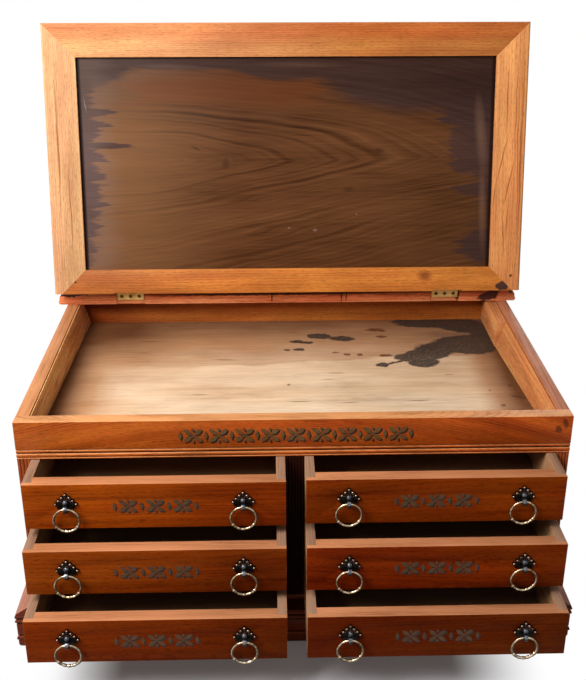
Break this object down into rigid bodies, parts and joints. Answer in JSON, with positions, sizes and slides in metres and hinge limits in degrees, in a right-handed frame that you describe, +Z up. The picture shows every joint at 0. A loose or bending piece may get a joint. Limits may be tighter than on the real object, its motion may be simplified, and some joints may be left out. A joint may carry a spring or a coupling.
{
  "type": "spool cabinet",
  "caption": "Low oak counter cabinet with shallow drawers on ring pulls in two columns and a framed lid hinged over a tray.",
  "frame": {"origin": "middle of the footprint of the moulded base, on the surface that the case stands on", "axes": "+Z up, +Y from the drawer fronts to the back, +X to the right of someone who faces the drawers"},
  "size_m": [0.812, 0.6566, 0.8233],
  "materials": {
    "oak": "oiled, satin",
    "oak_dark": "oiled, satin",
    "oak_light": "oiled, satin",
    "walnut": "stained dark, satin",
    "pine": "bare, worn",
    "brass": "tarnished",
    "bronze": "oxidised, nearly black",
    "nickel": "worn nickel plate over brass"
  },
  "bodies": {
    "case": {"header": "oak", "corner_stiles": "oak_dark", "centre_stile": "oak_dark", "side_left": "oak", "side_right": "oak", "back_board": "oak", "tray_floor": "pine", "tray_linings": "oak_light", "hinge_strip": "oak", "partition": "oak", "drawer_rails": "oak", "drawer_runners": "pine", "bottom_board": "pine", "base_front": "oak_dark", "base_sides": "oak_dark", "hinge_leaves_case": "brass", "hinge_pins": "brass", "hinge_screws_case": "brass"},
    "lid": {"lid_front_rail": "oak_light", "lid_rear_rail": "oak_light", "lid_stiles": "oak_light", "lid_panel": "walnut", "hinge_leaves_lid": "brass", "hinge_screws_lid": "brass"},
    "drawer_lower_left": {"lower_left_front": "oak_dark", "lower_left_box": "oak_light", "lower_left_bottom": "pine", "lower_left_pulls": "bronze"},
    "ring_lower_left_left": {"lower_left_ring_left": "nickel"},
    "ring_lower_left_right": {"lower_left_ring_right": "nickel"},
    "drawer_lower_right": {"lower_right_front": "oak_dark", "lower_right_box": "oak_light", "lower_right_bottom": "pine", "lower_right_pulls": "bronze"},
    "ring_lower_right_left": {"lower_right_ring_left": "nickel"},
    "ring_lower_right_right": {"lower_right_ring_right": "nickel"},
    "drawer_middle_left": {"middle_left_front": "oak_dark", "middle_left_box": "oak_light", "middle_left_bottom": "pine", "middle_left_pulls": "bronze"},
    "ring_middle_left_left": {"middle_left_ring_left": "nickel"},
    "ring_middle_left_right": {"middle_left_ring_right": "nickel"},
    "drawer_middle_right": {"middle_right_front": "oak_dark", "middle_right_box": "oak_light", "middle_right_bottom": "pine", "middle_right_pulls": "bronze"},
    "ring_middle_right_left": {"middle_right_ring_left": "nickel"},
    "ring_middle_right_right": {"middle_right_ring_right": "nickel"},
    "drawer_upper_left": {"upper_left_front": "oak_dark", "upper_left_box": "oak_light", "upper_left_bottom": "pine", "upper_left_pulls": "bronze"},
    "ring_upper_left_left": {"upper_left_ring_left": "nickel"},
    "ring_upper_left_right": {"upper_left_ring_right": "nickel"},
    "drawer_upper_right": {"upper_right_front": "oak_dark", "upper_right_box": "oak_light", "upper_right_bottom": "pine", "upper_right_pulls": "bronze"},
    "ring_upper_right_left": {"upper_right_ring_left": "nickel"},
    "ring_upper_right_right": {"upper_right_ring_right": "nickel"}
  },
  "joints": [
    {"name": "lid_hinge", "type": "hinge", "parent": "case", "child": "lid", "pos_m": [0, 0.202, 0.3858], "axis": [-1, 0, 0], "range_deg": [-101.2, 0]},
    {"name": "lower_left_slide", "type": "slide", "parent": "case", "child": "drawer_lower_left", "axis": [0, -1, 0], "range_m": [-0.1355, 0.2045]},
    {"name": "lower_left_ring_left_swing", "type": "hinge", "parent": "drawer_lower_left", "child": "ring_lower_left_left", "pos_m": [-0.305, -0.3675, 0.1053], "axis": [-1, 0, 0], "range_deg": [0, 150]},
    {"name": "lower_left_ring_right_swing", "type": "hinge", "parent": "drawer_lower_left", "child": "ring_lower_left_right", "pos_m": [-0.0705, -0.3675, 0.1053], "axis": [-1, 0, 0], "range_deg": [0, 150]},
    {"name": "lower_right_slide", "type": "slide", "parent": "case", "child": "drawer_lower_right", "axis": [0, -1, 0], "range_m": [-0.1355, 0.2045]},
    {"name": "lower_right_ring_left_swing", "type": "hinge", "parent": "drawer_lower_right", "child": "ring_lower_right_left", "pos_m": [0.0705, -0.3675, 0.1053], "axis": [-1, 0, 0], "range_deg": [0, 150]},
    {"name": "lower_right_ring_right_swing", "type": "hinge", "parent": "drawer_lower_right", "child": "ring_lower_right_right", "pos_m": [0.305, -0.3675, 0.1053], "axis": [-1, 0, 0], "range_deg": [0, 150]},
    {"name": "middle_left_slide", "type": "slide", "parent": "case", "child": "drawer_middle_left", "axis": [0, -1, 0], "range_m": [-0.0975, 0.2425]},
    {"name": "middle_left_ring_left_swing", "type": "hinge", "parent": "drawer_middle_left", "child": "ring_middle_left_left", "pos_m": [-0.305, -0.3295, 0.1883], "axis": [-1, 0, 0], "range_deg": [0, 150]},
    {"name": "middle_left_ring_right_swing", "type": "hinge", "parent": "drawer_middle_left", "child": "ring_middle_left_right", "pos_m": [-0.0705, -0.3295, 0.1883], "axis": [-1, 0, 0], "range_deg": [0, 150]},
    {"name": "middle_right_slide", "type": "slide", "parent": "case", "child": "drawer_middle_right", "axis": [0, -1, 0], "range_m": [-0.0975, 0.2425]},
    {"name": "middle_right_ring_left_swing", "type": "hinge", "parent": "drawer_middle_right", "child": "ring_middle_right_left", "pos_m": [0.0705, -0.3295, 0.1883], "axis": [-1, 0, 0], "range_deg": [0, 150]},
    {"name": "middle_right_ring_right_swing", "type": "hinge", "parent": "drawer_middle_right", "child": "ring_middle_right_right", "pos_m": [0.305, -0.3295, 0.1883], "axis": [-1, 0, 0], "range_deg": [0, 150]},
    {"name": "upper_left_slide", "type": "slide", "parent": "case", "child": "drawer_upper_left", "axis": [0, -1, 0], "range_m": [-0.0655, 0.2745]},
    {"name": "upper_left_ring_left_swing", "type": "hinge", "parent": "drawer_upper_left", "child": "ring_upper_left_left", "pos_m": [-0.305, -0.2975, 0.2713], "axis": [-1, 0, 0], "range_deg": [0, 150]},
    {"name": "upper_left_ring_right_swing", "type": "hinge", "parent": "drawer_upper_left", "child": "ring_upper_left_right", "pos_m": [-0.0705, -0.2975, 0.2713], "axis": [-1, 0, 0], "range_deg": [0, 150]},
    {"name": "upper_right_slide", "type": "slide", "parent": "case", "child": "drawer_upper_right", "axis": [0, -1, 0], "range_m": [-0.062, 0.278]},
    {"name": "upper_right_ring_left_swing", "type": "hinge", "parent": "drawer_upper_right", "child": "ring_upper_right_left", "pos_m": [0.0705, -0.294, 0.2713], "axis": [-1, 0, 0], "range_deg": [0, 150]},
    {"name": "upper_right_ring_right_swing", "type": "hinge", "parent": "drawer_upper_right", "child": "ring_upper_right_right", "pos_m": [0.305, -0.294, 0.2713], "axis": [-1, 0, 0], "range_deg": [0, 150]}
  ]
}
